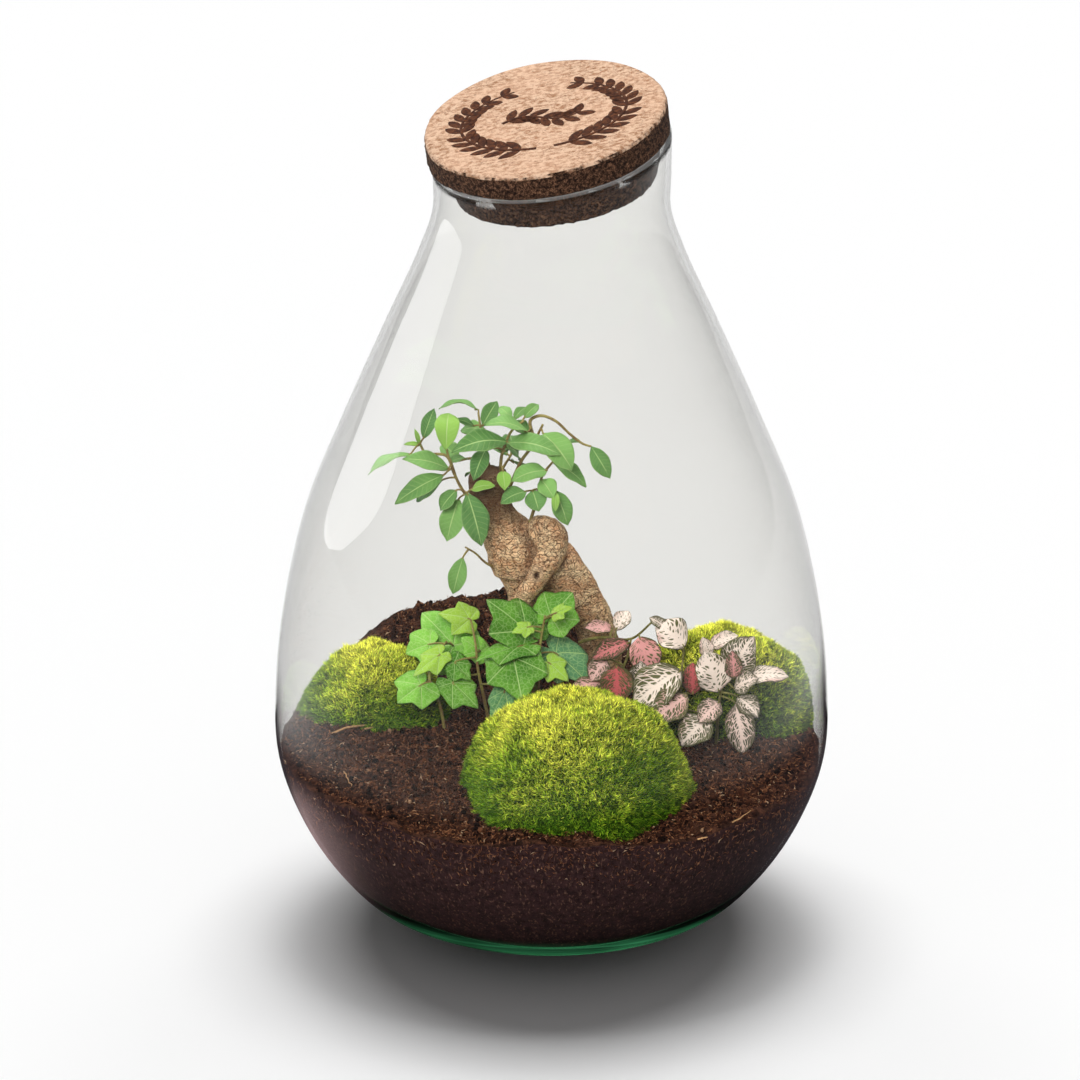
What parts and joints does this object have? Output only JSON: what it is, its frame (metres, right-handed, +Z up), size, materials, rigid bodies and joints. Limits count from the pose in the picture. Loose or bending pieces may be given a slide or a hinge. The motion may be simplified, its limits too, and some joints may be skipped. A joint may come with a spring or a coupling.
{
  "type": "glass plant terrarium",
  "caption": "Closed glass jar terrarium with a slanted rim and cork stopper, holding potting soil, moss cushions, a small ficus, ivy and fittonia.",
  "frame": {"origin": "centre of the jar's foot, in the plane it stands on", "axes": "+Z up along the jar's axis; -Y is the front, from which the ivy and the front moss cushion are nearest; +X to the right seen from the front"},
  "size_m": [0.2598, 0.2598, 0.4058],
  "materials": {
    "glass": "clear blown glass, green where it is thick",
    "cork": "raw pressed cork, pale speckled top and dark fibrous bark side",
    "soil": "dark fibrous potting soil",
    "moss": "fine yellow-green star moss",
    "bark": "tan wrinkled bark",
    "ficus_leaf": "leathery satin green leaf",
    "ivy_leaf": "light-veined green leaf",
    "fittonia_leaf": "dark green leaf with a pale pink and white net of veins"
  },
  "bodies": {
    "root": {"glass_jar": "glass", "cork_stopper": "cork", "soil": "soil", "moss_front": "moss", "moss_left": "moss", "moss_right": "moss", "ficus_trunk": "bark", "ficus_spray_left": "ficus_leaf", "ficus_spray_top": "ficus_leaf", "ficus_spray_centre": "ficus_leaf", "ficus_spray_right": "ficus_leaf", "ficus_spray_low_right": "ficus_leaf", "ficus_spray_low_left": "ficus_leaf", "ficus_spray_back": "ficus_leaf", "ficus_shoot_side": "ficus_leaf", "ivy_left": "ivy_leaf", "ivy_middle": "ivy_leaf", "ivy_right": "ivy_leaf", "fittonia_left": "fittonia_leaf", "fittonia_middle": "fittonia_leaf", "fittonia_right": "fittonia_leaf"}
  },
  "joints": []
}
